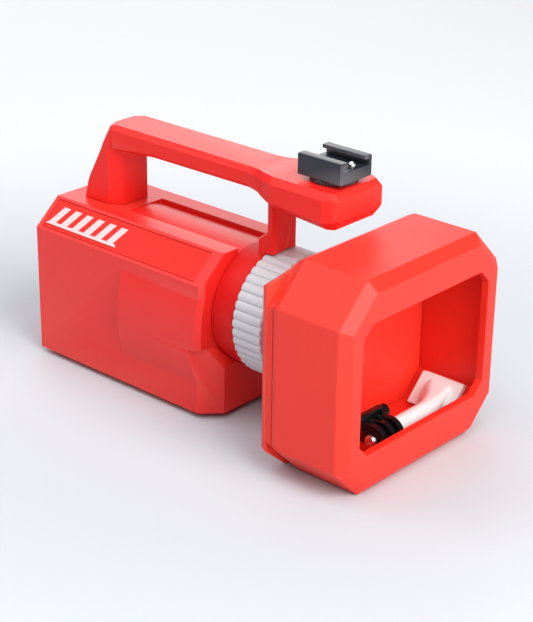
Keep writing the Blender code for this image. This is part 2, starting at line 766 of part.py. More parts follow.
def build_mount(parts, cutters, black, white, foam, chrome, steel):
    # adhesive pad and bracket plate lie on the sloped lower corner of the hood
    root = math.sqrt(0.5)
    centre = Vector((45.45, 10.85))
    along = Vector((root, root))
    inward = Vector((-root, root))

    def on_corner(y, slide, lift):
        spot = centre + along * slide + inward * lift
        return (spot.x, y, spot.y)

    def plate_loop(half_y, half_s, lift, rounding, steps):
        loop = []
        for cy, cs, start in ((1, 1, 0), (-1, 1, 90), (-1, -1, 180), (1, -1, 270)):
            for step in range(steps):
                angle = math.radians(start + 90.0 * step / (steps - 1))
                y = cy * (half_y - rounding) + rounding * math.cos(angle)
                s = cs * (half_s - rounding) + rounding * math.sin(angle)
                loop.append(on_corner(24.3 + y, s, lift))
        return loop

    pad = loft([plate_loop(10.8, 7.6, 0.2, 1.6, 3), plate_loop(10.8, 7.6, 1.2, 1.6, 3)])
    add_object("adhesive_pad", pad, parts, foam, (45.0, 24.3, 11.3))

    steps = 6
    total = steps * 4
    loops = [
        plate_loop(11.1, 7.9, 1.5, 1.8, steps),
        plate_loop(11.1, 7.9, 3.4, 1.8, steps),
        plate_loop(10.7, 7.5, 3.8, 1.6, steps),
        plate_loop(7.6, 6.0, 3.9, 3.0, steps),
    ]
    base = loops[-1]
    stations = ((6.0, 0.25), (13.0, 0.55), (22.0, 0.85), (30.0, 1.0), (49.4, 1.0))
    circle_ref = []
    for cy, cs, start in ((1, 1, 0), (-1, 1, 90), (-1, -1, 180), (1, -1, 270)):
        for step in range(steps):
            angle = math.radians(start + 90.0 * (step + 0.5) / steps)
            circle_ref.append((math.cos(angle), math.sin(angle)))
    for run, blend in stations:
        loop = []
        for index in range(total):
            bx, by, bz = base[index]
            cy, cs = circle_ref[index]
            rod_x = 45.3 - run + cs * ROD_R * (1.0 - min(1.0, blend)) * 0.3
            rod_y = PRONG_Y + ROD_R * cy
            rod_z = PRONG_Z + ROD_R * cs
            ease = blend * blend * (3.0 - 2.0 * blend)
            off_x = bx - 43.0
            x = (1.0 - ease) * (bx - run) + ease * rod_x
            if blend < 1.0:
                x = 45.3 - run + off_x * (1.0 - ease)
            y = (1.0 - ease) * by + ease * rod_y
            z = (1.0 - ease) * bz + ease * rod_z
            loop.append((x, y, z))
        loops.append(loop)
    arm = add_object("mount_arm", loft(loops), parts, white, (45.0, 24.3, 11.3), 50.0)
    pocket = hex_prism((-6.0, PRONG_Y, PRONG_Z), (1, 0, 0), 6.1, 5.0)
    cut(arm, pocket, "nut_pocket", cutters)
    bore = turned([(0.0, 1.8), (16.0, 1.8)], (-6.0, PRONG_Y, PRONG_Z), (1, 0, 0), 12)
    cut(arm, bore, "arm_bore", cutters)

    # prongs
    outline = [(23.4, 9.8), (23.4, 22.6), (20.4, 22.6), (20.4, PRONG_Z + PRONG_R)]
    start = 90.0
    stop = 180.0 + math.degrees(math.asin((PRONG_Z - 9.8) / PRONG_R))
    for step in range(13):
        angle = math.radians(start + (stop - start) * step / 12.0)
        outline.append((PRONG_Y + PRONG_R * math.cos(angle), PRONG_Z + PRONG_R * math.sin(angle)))
    block = prism_x(outline, PRONG_LEFT, PRONG_RIGHT)
    origin = ((PRONG_LEFT + PRONG_RIGHT) / 2.0, PRONG_Y, PRONG_Z)
    prongs = add_object("prong_mount", block, parts, black, origin)
    for left in (-16.4, -10.4):
        cut(prongs, box(left, left + 3.0, 0.0, 19.4, 0.0, 30.0), "slot_%d" % -left, cutters)
    through = turned([(0.0, 1.8), (24.0, 1.8)], (-24.0, PRONG_Y, PRONG_Z), (1, 0, 0), 12)
    cut(prongs, through, "prong_bore", cutters)
    ear = turned([(0.0, 3.2), (5.6, 3.2), (6.2, 2.6)], (-6.4, 21.9, 19.2), (1, 0, 0), 16)
    join(prongs, ear, "prong_ear", cutters)

    head = turned(
        [(0.9, 1.2), (0.1, 1.4), (0.0, 1.9), (0.9, 3.0), (2.1, 3.3), (2.3, 3.3), (2.3, 1.45), (26.0, 1.45), (26.4, 1.0)],
        (-22.0, PRONG_Y, PRONG_Z),
        (1, 0, 0),
        18,
    )
    add_object("mount_screw", head, parts, chrome, (-22.0, PRONG_Y, PRONG_Z), 60.0)
    nut = hex_prism((-3.9, PRONG_Y, PRONG_Z), (1, 0, 0), 5.5, 2.4)
    item = add_object("mount_nut", nut, parts, steel, (-3.9, PRONG_Y, PRONG_Z))
    thread = turned([(0.0, 1.7), (5.0, 1.7)], (-5.0, PRONG_Y, PRONG_Z), (1, 0, 0), 12)
    cut(item, thread, "nut_bore", cutters)


def main():
    clear_scene()
    parts = make_collection("camcorder_rig")
    cutters = make_collection("cutters")
    cutters.hide_render = True
    red_body = make_material("red_print_body", (0.80, 0.055, 0.05), 0.45)
    red_hood = make_material("red_print_hood", (0.82, 0.06, 0.05), 0.45)
    red_handle = make_material("red_print_handle", (0.82, 0.055, 0.05), 0.42)
    red_barrel = make_material("red_print_barrel", (0.78, 0.05, 0.05), 0.45)
    red_panel = make_material("red_print_panel", (0.84, 0.06, 0.05), 0.4)
    white_print = make_material("white_print", (0.80, 0.81, 0.84), 0.5)
    white_mark = make_material("white_mark", (0.86, 0.86, 0.87), 0.5)
    black_metal = make_material("black_anodised", (0.045, 0.048, 0.06), 0.4, 0.6)
    black_plastic = make_material("black_plastic", (0.012, 0.012, 0.014), 0.25)
    foam = make_material("adhesive_foam", (0.75, 0.75, 0.76), 0.9)
    steel = make_material("steel", (0.45, 0.45, 0.47), 0.35, 1.0)
    chrome = make_material("bright_steel", (0.75, 0.75, 0.77), 0.18, 1.0)
    brass = make_material("brass", (0.72, 0.52, 0.22), 0.35, 1.0)
    build_body(parts, cutters, red_body)
    build_label(parts, cutters, red_panel, white_mark)
    build_base(parts, cutters, red_body, steel, brass)
    build_barrel(parts, cutters, red_barrel, white_print, steel)
    build_hood(parts, cutters, red_hood, steel)
    build_handle(parts, cutters, red_handle, steel, brass)
    build_shoe(parts, cutters, black_metal, steel, chrome)
    build_mount(parts, cutters, black_plastic, white_print, foam, chrome, steel)


main()
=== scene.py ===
"""Looks for the camcorder-style action-camera rig: detailed pieces, printed materials, camera and light."""
import math

import bmesh
import bpy
from mathutils import Matrix, Vector


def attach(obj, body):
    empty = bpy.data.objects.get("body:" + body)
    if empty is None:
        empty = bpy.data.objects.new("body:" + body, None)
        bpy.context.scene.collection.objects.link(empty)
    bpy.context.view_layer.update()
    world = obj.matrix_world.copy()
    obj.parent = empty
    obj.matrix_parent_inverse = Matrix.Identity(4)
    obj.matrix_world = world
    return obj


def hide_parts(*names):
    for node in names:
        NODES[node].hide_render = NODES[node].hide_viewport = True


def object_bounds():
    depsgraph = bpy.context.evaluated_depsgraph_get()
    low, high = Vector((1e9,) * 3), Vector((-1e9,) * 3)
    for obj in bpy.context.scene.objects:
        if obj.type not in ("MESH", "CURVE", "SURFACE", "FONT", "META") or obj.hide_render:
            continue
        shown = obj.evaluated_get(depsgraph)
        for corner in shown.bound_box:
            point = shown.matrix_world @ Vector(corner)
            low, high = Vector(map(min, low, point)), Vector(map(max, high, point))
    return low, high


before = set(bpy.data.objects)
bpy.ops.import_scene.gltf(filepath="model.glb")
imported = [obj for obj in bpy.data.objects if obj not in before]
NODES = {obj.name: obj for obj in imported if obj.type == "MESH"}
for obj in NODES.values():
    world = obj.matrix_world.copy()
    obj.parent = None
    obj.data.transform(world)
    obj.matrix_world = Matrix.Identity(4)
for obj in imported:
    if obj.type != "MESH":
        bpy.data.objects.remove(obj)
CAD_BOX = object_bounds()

# Lengths are in millimetres: x to the right, y rearwards from the hood's rim, z up from the body's
# lower edge. place() turns them into the frame's metres.
MM = 0.001
(_, RIM, _), (HOOD_HALF, REAR, TOP) = [[round(value / MM, 3) for value in corner] for corner in CAD_BOX]
STANDOFF = 3.0                     # the body stands this high, on its base plate
BODY_REAR = REAR - RIM
SHOE_TOP = TOP - STANDOFF
AXIS_Z = 50.0                      # height of the barrel's axis
GAP = 0.3                          # clearance round a piece that sits in a recess
BODY_FRONT, BODY_TOP, BODY_HALF = 105.7, 81.0, 37.2
SHOULDER_X, SHOULDER_Z = 21.7, 67.7    # the sloping shoulder ends here, at the top and at the side
BASE_HALF, BASE_FRONT, BASE_REAR, BASE_TOP = 33.1, 112.1, 217.1, 3.0
TRIPOD_Y = 160.0
LABEL_FRONT, LABEL_REAR, LABEL_MARGIN = 112.7, 220.1, 1.9
BARREL, SPIGOT = 31.0, 22.5        # radii of the barrel's flange and of its end inside the body
HANDLE_HALF, HANDLE_TOP, POST_HALF = 12.7, 123.7, 8.6
SHOE_Y, STOP_Y = 57.25, 47.2       # the shoe turns about the first; its stop screw stands at the second
PIVOT_Y, PIVOT_Z = 14.2, 12.6      # axis of the three-prong mount
RIGHTWARD, REARWARD, FORWARD, UP, DOWN = (1, 0, 0), (0, 1, 0), (0, -1, 0), (0, 0, 1), (0, 0, -1)
scene = bpy.context.scene


# ---------------------------------------------------------------- shapes
def place(x, y, z):
    return Vector((x, y + RIM, z + STANDOFF)) * MM


def loft(loops, closed=False):
    """Skin equal-length loops of (x, y, z); cap both ends unless the run closes on itself."""
    mesh = bmesh.new()
    rows = [[mesh.verts.new(place(*p)) for p in loop] for loop in loops]
    count = len(rows[0])
    pairs = list(zip(rows, rows[1:]))
    if closed:
        pairs.append((rows[-1], rows[0]))
    for first, second in pairs:
        for index in range(count):
            after = (index + 1) % count
            mesh.faces.new((first[index], first[after], second[after], second[index]))
    if not closed:
        mesh.faces.new(list(reversed(rows[0])))
        mesh.faces.new(rows[-1])
    bmesh.ops.recalc_face_normals(mesh, faces=mesh.faces)
    return mesh


def prism_x(outline, left, right):
    return loft([[(x, y, z) for y, z in outline] for x in (left, right)])


def prism_y(outline, front, rear):
    return loft([[(x, y, z) for x, z in outline] for y in (front, rear)])


def prism_z(outline, low, high):
    return loft([[(x, y, z) for x, y in outline] for z in (low, high)])


def box(x0, x1, y0, y1, z0, z1):
    return prism_z([(x0, y0), (x1, y0), (x1, y1), (x0, y1)], z0, z1)


def turned(profile, centre, direction, segments=96):
    """Turn (distance along axis, radius) pairs about an axis through centre."""
    axis = Vector(direction).normalized()
    side = axis.orthogonal().normalized()
    across = axis.cross(side)
    loops = []
    for along, radius in profile:
        loop = []
        for index in range(segments):
            angle = 2.0 * math.pi * (index + 0.5) / segments
            reach = (side * math.cos(angle) + across * math.sin(angle)) * radius
            loop.append(tuple(Vector(centre) + axis * along + reach))
        loops.append(loop)
    if profile[0] == profile[-1]:
        return loft(loops[:-1], True)
    return loft(loops)


def through(rows, steps):
    """Smooth run through rows of numbers, each row a point on a Catmull-Rom curve."""
    def between(p, q, r, s, t):
        bend = (2 * p - 5 * q + 4 * r - s) * t * t
        twist = (3 * q - p - 3 * r + s) * t ** 3
        return 0.5 * (2 * q + (r - p) * t + bend + twist)

    found = []
    for index in range(len(rows) - 1):
        before, here = rows[max(index - 1, 0)], rows[index]
        following, last = rows[index + 1], rows[min(index + 2, len(rows) - 1)]
        for step in range(steps):
            found.append(tuple(between(*four, step / steps) for four in zip(before, here, following, last)))
    found.append(tuple(rows[-1]))
    return found


def ease(t):
    return t * t * (3.0 - 2.0 * t)


def as_object(name, mesh):
    data = bpy.data.meshes.new(name)
    mesh.to_mesh(data)
    mesh.free()
    item = bpy.data.objects.new(name, data)
    scene.collection.objects.link(item)
    return item


def carve(item, *steps):
    """Join or cut solids one after another and keep the result as plain mesh."""
    weld, flat = 0.002 * MM, math.radians(0.05)
    tools = []
    for operation, mesh in steps:
        tool = as_object("tool", mesh)
        change = item.modifiers.new("carve", "BOOLEAN")
        change.operation = operation
        change.solver = "EXACT"
        change.object = tool
        tools.append(tool)
    graph = bpy.context.evaluated_depsgraph_get()
    data = bpy.data.meshes.new_from_object(item.evaluated_get(graph))
    item.modifiers.clear()
    item.data = data
    for tool in tools:
        bpy.data.objects.remove(tool)
    mesh = bmesh.new()
    mesh.from_mesh(data)
    bmesh.ops.remove_doubles(mesh, verts=mesh.verts, dist=weld)
    bmesh.ops.dissolve_limit(mesh, angle_limit=flat, verts=mesh.verts, edges=mesh.edges, delimit=set())
    mesh.to_mesh(data)
    mesh.free()


def soften(item, width, angle=22.0, segments=3):
    """Round the edges that have room for it, crease the rest and keep the flats flat."""
    room = 2.3 * width * MM
    mesh = bmesh.new()
    mesh.from_mesh(item.data)
    weight = mesh.edges.layers.float.new("bevel_weight_edge")
    shortest = {
        vert: min(edge.calc_length() for edge in vert.link_edges)
        for vert in mesh.verts if vert.link_edges
    }
    for face in mesh.faces:
        face.smooth = True
    for edge in mesh.edges:
        if len(edge.link_faces) != 2 or edge.calc_face_angle(0.0) < math.radians(angle):
            continue
        if width > 0.0 and min(shortest[vert] for vert in edge.verts) > room:
            edge[weight] = 1.0
        else:
            edge.smooth = False
    mesh.to_mesh(item.data)
    mesh.free()
    if width > 0.0:
        bevel = item.modifiers.new("bevel", "BEVEL")
        bevel.width = width * MM
        bevel.segments = segments
        bevel.limit_method = "WEIGHT"
        bevel.use_clamp_overlap = True
    normals = item.modifiers.new("normals", "WEIGHTED_NORMAL")
    normals.weight = 60
    normals.keep_sharp = True


def fit_in(item, finish, body, node):
    """Give a finished piece its material and its place on a body, and hide the CAD node that it stands for.
    """
    item.data.materials.clear()
    item.data.materials.append(finish)
    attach(item, body)
    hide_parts(node)


def socket_screw(name, profile, head, direction, hexagon, depth, segments=40):
    """Screw whose head starts at a point, with a hexagon socket of the given radius and depth."""
    clear = 0.5
    screw = as_object(name, turned(profile, head, direction, segments))
    carve(screw, ("DIFFERENCE", turned([(-clear, hexagon), (depth, hexagon)], head, direction, 6)))
    return screw


# ---------------------------------------------------------------- materials
LAYER = 0.4                        # height of a printed layer
WAVE_SCALE = 0.314                 # wave texture scale at which one band is one unit wide
STACK_NOISE, LAYER_NOISE = 900.0, 26.0    # noise scales across the stack of layers and within a layer
PALE_EDGE_FROM, PALE_EDGE_TO = 0.53, 0.66    # pointiness between which a convex edge turns from plain to its paler edge colour: a painted highlight on the red prints, wear on the metals


def material(name, dark, light, rough, metallic=0.0, lines=None, relief=0.0, grain=0.0, grain_size=0.35,
             wear_and_edge_highlight=None, wear_and_highlight_amount=0.3, specular=0.5, streak=0.06):
    """Mottled colour with grain; lines adds printed layers stacked along that axis. The edge colour pales the
    convex edges: a painted highlight on the red prints, wear on the metals.
    """
    made = bpy.data.materials.new(name)
    made.use_nodes = True
    made.diffuse_color = (*light, 1.0)
    tree = made.node_tree
    shader = tree.nodes["Principled BSDF"]

    def feed(socket, value):
        if isinstance(value, bpy.types.NodeSocket):
            tree.links.new(value, socket)
        else:
            socket.default_value = value

    def add(kind, **inputs):
        node = tree.nodes.new(kind)
        for key, value in inputs.items():
            feed(node.inputs[key], value)
        return node

    def maths(operation, a, b):
        node = tree.nodes.new("ShaderNodeMath")
        node.operation = operation
        feed(node.inputs[0], a)
        feed(node.inputs[1], b)
        return node.outputs[0]

    def blend(factor, a, b):
        node = tree.nodes.new("ShaderNodeMix")
        node.data_type = "RGBA"
        feed(node.inputs[0], factor)
        for socket, colour in ((node.inputs[6], a), (node.inputs[7], b)):
            feed(socket, colour if isinstance(colour, bpy.types.NodeSocket) else (*colour, 1.0))
        return node.outputs[2]

    spot = tree.nodes.new("ShaderNodeTexCoord").outputs["Object"]
    cloud = add("ShaderNodeTexNoise", Vector=spot, Scale=22.0, Detail=3.0).outputs["Fac"]
    mottled = blend(cloud, dark, light)
    colour = mottled
    height = None
    if lines:
        stretch = [STACK_NOISE if axis == lines else LAYER_NOISE for axis in "xyz"]
        moved = add("ShaderNodeMapping", Vector=spot, Scale=stretch).outputs[0]
        layer = add("ShaderNodeTexNoise", Vector=moved, Scale=1.0, Detail=4.0, Roughness=0.65).outputs["Fac"]
        bands = add("ShaderNodeTexWave", Vector=spot, Scale=WAVE_SCALE / (LAYER * MM), Distortion=0.4)
        bands.bands_direction = lines.upper()
        ripple = maths("MULTIPLY", bands.outputs["Fac"], relief * 0.35)
        height = maths("ADD", maths("MULTIPLY", layer, relief), ripple)
        shade = maths("ADD", 0.5, maths("MULTIPLY", maths("SUBTRACT", layer, 0.5), streak * 2.0))
        streaked = blend(shade, tuple(c * (1 - streak) for c in dark), mottled)
        colour = blend(0.5, streaked, mottled)
    speck = add("ShaderNodeTexNoise", Vector=spot, Scale=1.0 / (grain_size * MM), Detail=2.0).outputs["Fac"]
    if grain:
        small = maths("MULTIPLY", speck, grain)
        height = maths("ADD", height, small) if height else small
    # Convex edges pale towards the edge colour; on the red prints this is a painted highlight, on the metals
    # wear.
    if wear_and_edge_highlight:
        point = tree.nodes.new("ShaderNodeNewGeometry").outputs["Pointiness"]
        pale_edge_mask = tree.nodes.new("ShaderNodeMapRange")
        for index, value in enumerate((point, PALE_EDGE_FROM, PALE_EDGE_TO, 0.0, wear_and_highlight_amount)):
            feed(pale_edge_mask.inputs[index], value)
        colour = blend(pale_edge_mask.outputs[0], colour, wear_and_edge_highlight)
    if height:
        bump = add("ShaderNodeBump", Height=height, Strength=1.0, Distance=MM)
        feed(shader.inputs["Normal"], bump.outputs[0])
    patchy = maths("ADD", rough - 0.05, maths("MULTIPLY", cloud, 0.1))
    speckled = maths("MULTIPLY", maths("SUBTRACT", speck, 0.5), 0.06)
    feed(shader.inputs["Base Color"], colour)
    feed(shader.inputs["Roughness"], maths("ADD", patchy, speckled))
    shader.inputs["Metallic"].default_value = metallic
    shader.inputs["Specular IOR Level"].default_value = specular
    return made


RED_DARK = (0.85, 0.018, 0.014)
RED_LIGHT = (0.91, 0.026, 0.020)
# Painted highlight: the red prints' convex edges turn this lighter orange, standing in for the bright lines
# that light draws along them.
RED_EDGE_HIGHLIGHT = (0.94, 0.15, 0.10)
PRINT = dict(relief=0.06, grain=0.02, wear_and_edge_highlight=RED_EDGE_HIGHLIGHT, streak=0.16)
red_body = material("red_print_body", RED_DARK, RED_LIGHT, 0.43, lines="z", specular=0.47, **PRINT)
red_handle = material("red_print_handle", RED_DARK, RED_LIGHT, 0.34, lines="z", specular=0.21, **PRINT)
red_panel = material("red_print_panel", RED_DARK, RED_LIGHT, 0.44, lines="x", specular=0.16, **PRINT)
# A darker copy of the red print for the barrel and neck: painted shade, as the hood shadows the barrel.
red_barrel_painted_shade = material(
    "red_print_barrel", (0.68, 0.009, 0.008), (0.76, 0.014, 0.012), 0.42, lines="y", specular=0.20, **PRINT
)
# A warmer, lighter copy of the red print for the hood: painted light, the warm key lamp's glow on the hood's
# front.
red_hood_painted_light = material(
    "red_print_hood", (0.86, 0.027, 0.014), (0.92, 0.038, 0.020), 0.48, lines="y", specular=0.42, **PRINT
)
white_print = material(
    "white_print_ring", (0.60, 0.62, 0.66), (0.66, 0.68, 0.72), 0.5, lines="y", relief=0.03, grain=0.01,
    wear_and_edge_highlight=(0.88, 0.88, 0.90),
)
white_arm = material(
    "white_moulded_arm", (0.78, 0.86, 0.89), (0.82, 0.90, 0.93), 0.30, grain=0.006, wear_and_edge_highlight=(0.97, 0.97, 0.98)
)
white_mark = material("white_paint_mark", (0.74, 0.55, 0.57), (0.80, 0.62, 0.64), 0.5, grain=0.012)
black_metal = material(
    "black_anodised", (0.010, 0.013, 0.023), (0.018, 0.022, 0.036), 0.36, metallic=0.3, grain=0.012,
    wear_and_edge_highlight=(0.35, 0.35, 0.38), wear_and_highlight_amount=0.35,
)
black_plastic = material(
    "black_plastic", (0.003, 0.003, 0.004), (0.006, 0.006, 0.007), 0.16, grain=0.006,
    wear_and_edge_highlight=(0.03, 0.02, 0.02), specular=0.32,
)
foam = material("adhesive_foam", (0.66, 0.66, 0.67), (0.76, 0.76, 0.77), 0.9, grain=0.06, grain_size=0.5)
steel = material(
    "steel", (0.36, 0.36, 0.38), (0.46, 0.46, 0.48), 0.34, metallic=1.0, grain=0.01, wear_and_edge_highlight=(0.7, 0.7, 0.72)
)
bright = material(
    "bright_steel", (0.74, 0.74, 0.77), (0.84, 0.84, 0.87), 0.30, metallic=1.0, grain=0.005,
    wear_and_edge_highlight=(0.9, 0.9, 0.9),
)
brass = material(
    "brass", (0.55, 0.38, 0.14), (0.70, 0.50, 0.20), 0.33, metallic=1.0, grain=0.01, wear_and_edge_highlight=(0.85, 0.7, 0.4)
)


# ---------------------------------------------------------------- body
def body_section(half, shoulder, swollen, tuck=0.0):
    """Outline across the body. Each side can carry the palm swell, an arc; tuck pulls the right
    shoulder corner in, so that it doesn't show past the ring."""
    low, high, out, steps = 16.0, 61.8, 3.3, 30
    reach = (high - low) / 2.0
    radius = (reach * reach + out * out) / (2.0 * out)
    side = [(half, 0.0)]
    for step in range(steps + 1):
        level = low + (high - low) * step / steps
        bulge = math.sqrt(radius * radius - (level - low - reach) ** 2) - (radius - out)
        side.append((half + (bulge if swollen else 0.0), level))
    crown = (SHOULDER_X, BODY_TOP)
    left = [(-x, z) for x, z in reversed(side + [(half, shoulder), crown])]
    return side + [(half - tuck, shoulder), crown] + left


SLOPE = Vector((BODY_HALF - SHOULDER_X, BODY_TOP - SHOULDER_Z)).normalized()
OUT = Vector((-SLOPE.y, SLOPE.x))
FACET = math.hypot(BODY_HALF - SHOULDER_X, BODY_TOP - SHOULDER_Z)


def on_shoulder(up, out):
    """Place (x, z) on the left shoulder, measured up its slope and out of its surface."""
    return tuple(Vector((-BODY_HALF, SHOULDER_Z)) + SLOPE * up + OUT * out)


def shoulder_plate(deep, high, front, rear, margin):
    low_edge, high_edge = margin, FACET - margin
    corners = ((low_edge, deep), (high_edge, deep), (high_edge, high), (low_edge, high))
    return prism_y([on_shoulder(up, out) for up, out in corners], front, rear)


def body_blank():
    """The body's outside without its foot."""
    chamfer, tuck_end, swell_rear = 2.4, 118.0, 161.0
    rise = chamfer * (BODY_TOP - SHOULDER_Z) / (BODY_HALF - SHOULDER_X)
    swollen = body_section(BODY_HALF, SHOULDER_Z, True)
    plain = body_section(BODY_HALF, SHOULDER_Z, False)
    stations = (
        (BODY_FRONT, body_section(BODY_HALF - chamfer, SHOULDER_Z + rise, True, 5.5)),
        (BODY_FRONT + chamfer, body_section(BODY_HALF, SHOULDER_Z, True, 4.2)),
        (tuck_end, swollen), (swell_rear - 0.3, swollen), (swell_rear + 0.4, plain),
        (BODY_REAR - 0.8, plain), (BODY_REAR, [(x * 0.985, 0.6 + z * 0.988) for x, z in plain]),
    )
    return loft([[(x, y, z) for x, z in outline] for y, outline in stations])


def foot_steps():
    """The foot under the barrel, its cut corners and the bed that the barrel lies in."""
    front, low, high, half = 99.5, 25.0, 34.6, BODY_HALF - 1.5
    slope = (high - low) / (BODY_FRONT - front)
    buried = BODY_FRONT + 6.0
    foot = [(front, 0.0), (buried, 0.0), (buried, low + slope * (buried - front)), (front, low)]
    steps = [("UNION", prism_x(foot, -half, half))]
    corner, beyond, start = 9.8, 10.0, front - 0.5
    inner, outer = BODY_HALF - corner, BODY_HALF + beyond
    wedge = [(inner, start), (outer, start + corner + beyond), (outer, start - 7.5), (inner, start - 7.5)]
    for side in (-1.0, 1.0):
        steps.append(("DIFFERENCE", prism_z([(x * side, y) for x, y in wedge], -1.0, 35.0)))
    barrel_bed = [(0, BARREL + GAP), (12.7, BARREL + GAP)]
    steps.append(("DIFFERENCE", turned(barrel_bed, (0, 93.0, AXIS_Z), REARWARD, 128)))
    return steps


def hollow_steps():
    """The inside, its opening for the base plate and the hole for the barrel's end."""
    inside, near, far, cut = 30.0, 115.0, 214.0, 13.0
    flat = inside - cut
    plan = [
        (-flat, near), (flat, near), (inside, near + cut), (inside, far - cut), (flat, far), (-flat, far),
        (-inside, far - cut), (-inside, near + cut),
    ]
    levels = ((-1.0, 1.0), (63.0, 1.0), (76.5, 0.58))
    half, front, rear = BASE_HALF + GAP, BASE_FRONT - GAP, BASE_REAR + GAP
    spigot_hole = [(0, SPIGOT + GAP), (14, SPIGOT + GAP)]
    return [
        ("DIFFERENCE", loft([[(x * narrow, y, z) for x, y in plan] for z, narrow in levels])),
        ("DIFFERENCE", box(-half, half, front, rear, -1.0, BASE_TOP + GAP)),
        ("DIFFERENCE", turned(spigot_hole, (0, 103.0, AXIS_Z), REARWARD, 64)),
    ]


def recess_steps():
    """The arched recess in the top and the label's recess in the shoulder."""
    arch, arch_half, arch_rear, above = 30.6, 12, 181.0, BODY_TOP + 3.0
    recess = [(float(x), AXIS_Z + math.sqrt(arch ** 2 - x * x)) for x in range(-arch_half, arch_half + 1)]
    recess += [(arch_half, above), (-arch_half, above)]
    label = shoulder_plate(-1.4, 3.0, LABEL_FRONT - GAP, LABEL_REAR + GAP, LABEL_MARGIN - GAP)
    return [("DIFFERENCE", prism_y(recess, 104.0, arch_rear)), ("DIFFERENCE", label)]


def build_body():
    body = as_object("body_shell_print", body_blank())
    carve(body, *foot_steps(), *hollow_steps(), *recess_steps())
    soften(body, 0.4, 10.0)
    fit_in(body, red_body, "rig", "body_shell")


def build_panel():
    panel = as_object("label_panel_print", shoulder_plate(-1.1, -0.1, LABEL_FRONT, LABEL_REAR, LABEL_MARGIN))
    soften(panel, 0.3)
    fit_in(panel, red_panel, "rig", "label_panel")


def build_mark():
    """Slanted bars that stand on a line, painted on the panel."""
    bars, pitch, lean, width = 6, 8.4, 4.0, 4.4
    low, line, tip = 4.0, 5.6, 15.2
    first, line_front, line_rear = 217.4, 169.4, 219.4
    outline = [(line_rear, low)]
    for index in range(bars):
        left = first - pitch * index
        outline += [(left, line), (left - lean, tip), (left - lean - width, tip), (left - width, line)]
    outline += [(line_front, line), (line_front - 1.5, low)]
    layers = []
    for out in (0.1, 0.5):
        spots = [(along, on_shoulder(up, out)) for along, up in outline]
        layers.append([(x, along, z) for along, (x, z) in spots])
    mark = as_object("label_mark_print", loft(layers))
    soften(mark, 0.14, segments=2)
    fit_in(mark, white_mark, "rig", "label_mark")


def build_base():
    bore = 4.9
    plate = as_object(
        "base_plate_print", box(-BASE_HALF, BASE_HALF, BASE_FRONT, BASE_REAR, -STANDOFF, BASE_TOP)
    )
    steps = [("UNION", turned([(0, 9.5), (7, 9.0)], (0, TRIPOD_Y, 1.5), UP, 64))]
    steps.append(("DIFFERENCE", turned([(0, bore), (16, bore)], (0, TRIPOD_Y, -4.0), UP, 64)))
    sink = [(0, 3.2), (1.2, 3.2), (2.6, 1.8), (8, 1.8)]
    screw = [(0, 2.6), (0.12, 2.75), (1.45, 1.4), (17.6, 1.4), (18, 1.0)]
    number = 1
    for x in (-27.2, 27.2):
        for y in (118.6, 210.4):
            steps.append(("DIFFERENCE", turned(sink, (x, y, -3.6), UP, 48)))
            item = socket_screw("base_screw_%d_fine" % number, screw, (x, y, -2.65), UP, 1.15, 1.05)
            soften(item, 0.08, 30, 2)
            fit_in(item, steel, "rig", "base_screw_%d" % number)
            number += 1
    carve(plate, *steps)
    soften(plate, 0.4)
    fit_in(plate, red_body, "rig", "base_plate")


def build_tripod_insert():
    """Sleeve with three grooves outside and a thread inside."""
    length, outer, groove_depth, thread, root = 9.6, 4.6, 0.3, 3.1, 3.5
    profile = [(0, root), (0, outer)]
    for groove in range(3):
        start = 2.0 + 2.4 * groove
        profile += [
            (start, outer), (start + 0.3, outer - groove_depth), (start + 0.9, outer - groove_depth),
            (start + 1.2, outer),
        ]
    profile += [(length, outer), (length, root)]
    for turn in range(8):
        crest = 9.3 - 1.2 * turn
        profile += [(crest, root), (crest - 0.5, thread), (crest - 0.8, thread)]
    profile.append((0, root))
    insert = as_object("tripod_insert_fine", turned(profile, (0, TRIPOD_Y, -2.7), UP, 64))
    soften(insert, 0.0)
    fit_in(insert, brass, "rig", "tripod_insert")


# ---------------------------------------------------------------- barrel, ring and neck
def build_barrel():
    bore = 19.5
    tube = as_object("barrel_tube_print", turned([
        (52.6, bore), (52.6, 23.0), (73.4, 23.0), (73.4, 27.2), (91.6, 27.2), (91.6, BARREL), (105.4, BARREL),
        (105.4, SPIGOT), (110.0, SPIGOT), (110.0, bore), (52.6, bore),
    ], (0, 0, AXIS_Z), REARWARD, 160))
    soften(tube, 0.45, 30)
    fit_in(tube, red_barrel_painted_shade, "rig", "barrel_tube")


def build_ring():
    ribs, samples, roundness = 42, 14, 0.62
    front, rear, tip, valley, bore = 73.5, 91.2, 32.0, 31.0, 27.6
    front_round, rear_round = 0.9, 0.7
    turns = [2.0 * math.pi * index / (ribs * samples) for index in range(ribs * samples)]
    quarter = [math.pi / 2 * step / 5 for step in range(6)]

    def circle(depth, radii):
        return [
            (radius * math.cos(angle), depth, AXIS_Z + radius * math.sin(angle))
            for radius, angle in zip(radii, turns)
        ]

    stations = [(front + front_round * (1 - math.cos(a)), front_round * (1 - math.sin(a))) for a in quarter]
    stations += [(front + (rear - front) * step / 6, 0.0) for step in range(1, 6)]
    stations += [(rear - rear_round * (1 - math.sin(a)), rear_round * (1 - math.cos(a))) for a in quarter]
    waves = [abs(math.sin(math.pi * (index % samples) / samples)) ** roundness for index in range(len(turns))]
    loops = [
        circle(depth, [valley + (tip - valley) * wave - drop for wave in waves]) for depth, drop in stations
    ]
    for depth, radius in ((rear, bore + 0.4), (rear - 0.4, bore), (front + 0.4, bore), (front, bore + 0.4)):
        loops.append(circle(depth, [radius] * len(turns)))
    ring = as_object("knurled_ring_print", loft(loops, True))
    soften(ring, 0.0)
    fit_in(ring, white_print, "ring", "knurled_ring")


